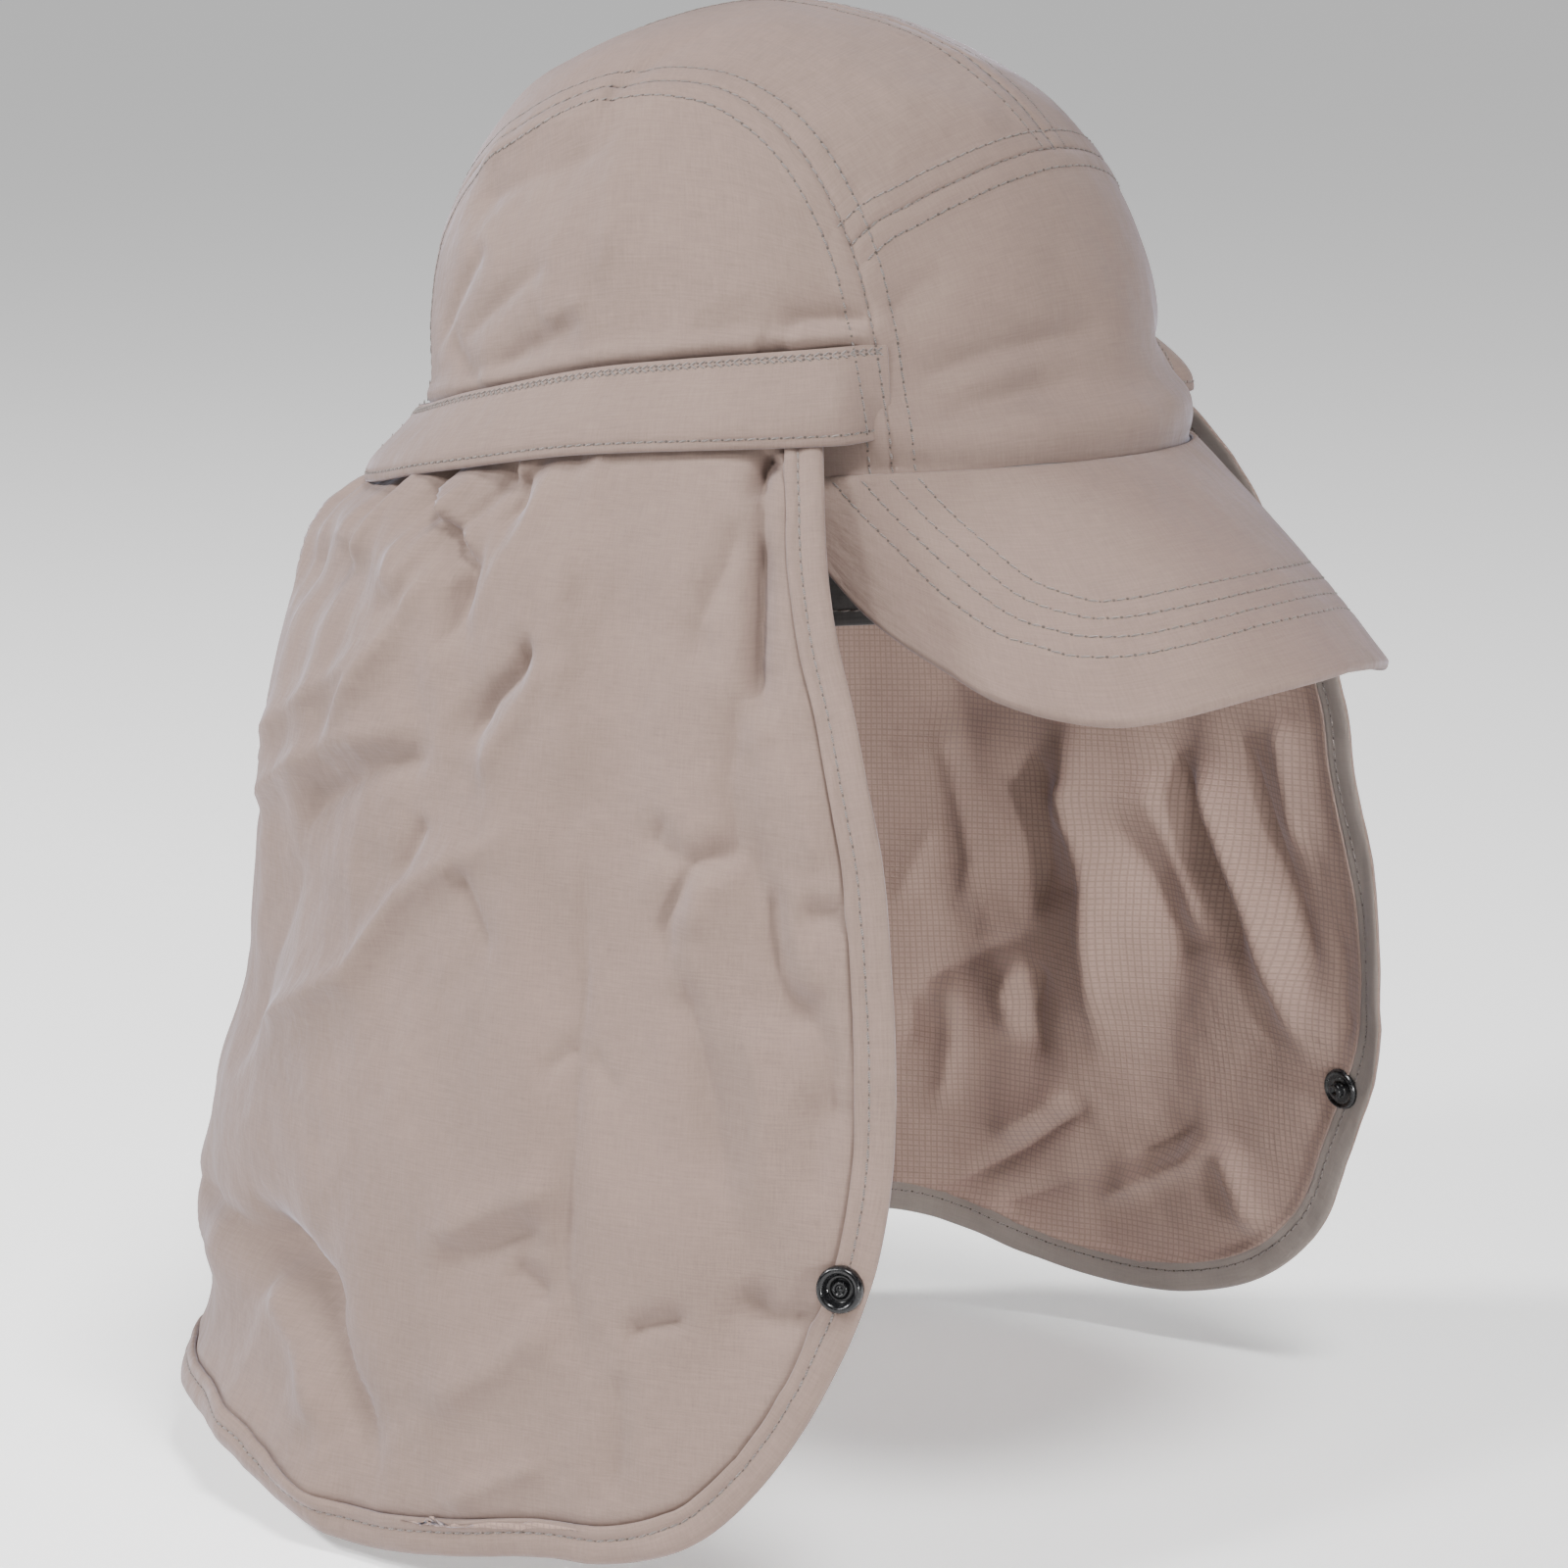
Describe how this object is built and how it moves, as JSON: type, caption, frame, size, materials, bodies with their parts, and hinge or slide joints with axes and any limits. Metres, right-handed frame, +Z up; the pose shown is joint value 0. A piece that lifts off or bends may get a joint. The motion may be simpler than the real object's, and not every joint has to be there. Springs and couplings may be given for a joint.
{
  "type": "legionnaire cap",
  "caption": "Soft sun cap with a panelled crown, a curved peak, a stow band and a hemmed neck flap whose front corners carry snaps.",
  "frame": {"origin": "centre of the head opening, level with the front of the rim", "axes": "+Z up, the front of the cap faces -Y, the wearer's right is -X"},
  "size_m": [0.2918, 0.325, 0.3808],
  "materials": {
    "shell_cloth": "thin plain weave with a faint sheen",
    "lining_cloth": "matte dark grey tape",
    "snap_plastic": "gloss"
  },
  "bodies": {
    "root": {"front_panel": "shell_cloth", "top_panel_right": "shell_cloth", "top_panel_left": "shell_cloth", "side_panel_right": "shell_cloth", "side_panel_left": "shell_cloth", "peak": "shell_cloth", "flap_band": "shell_cloth", "neck_flap": "shell_cloth", "flap_hem": "shell_cloth", "sweatband": "lining_cloth", "snap_socket_right": "snap_plastic", "snap_cap_right": "snap_plastic", "snap_stud_left": "snap_plastic", "snap_cap_left": "snap_plastic"}
  },
  "joints": []
}
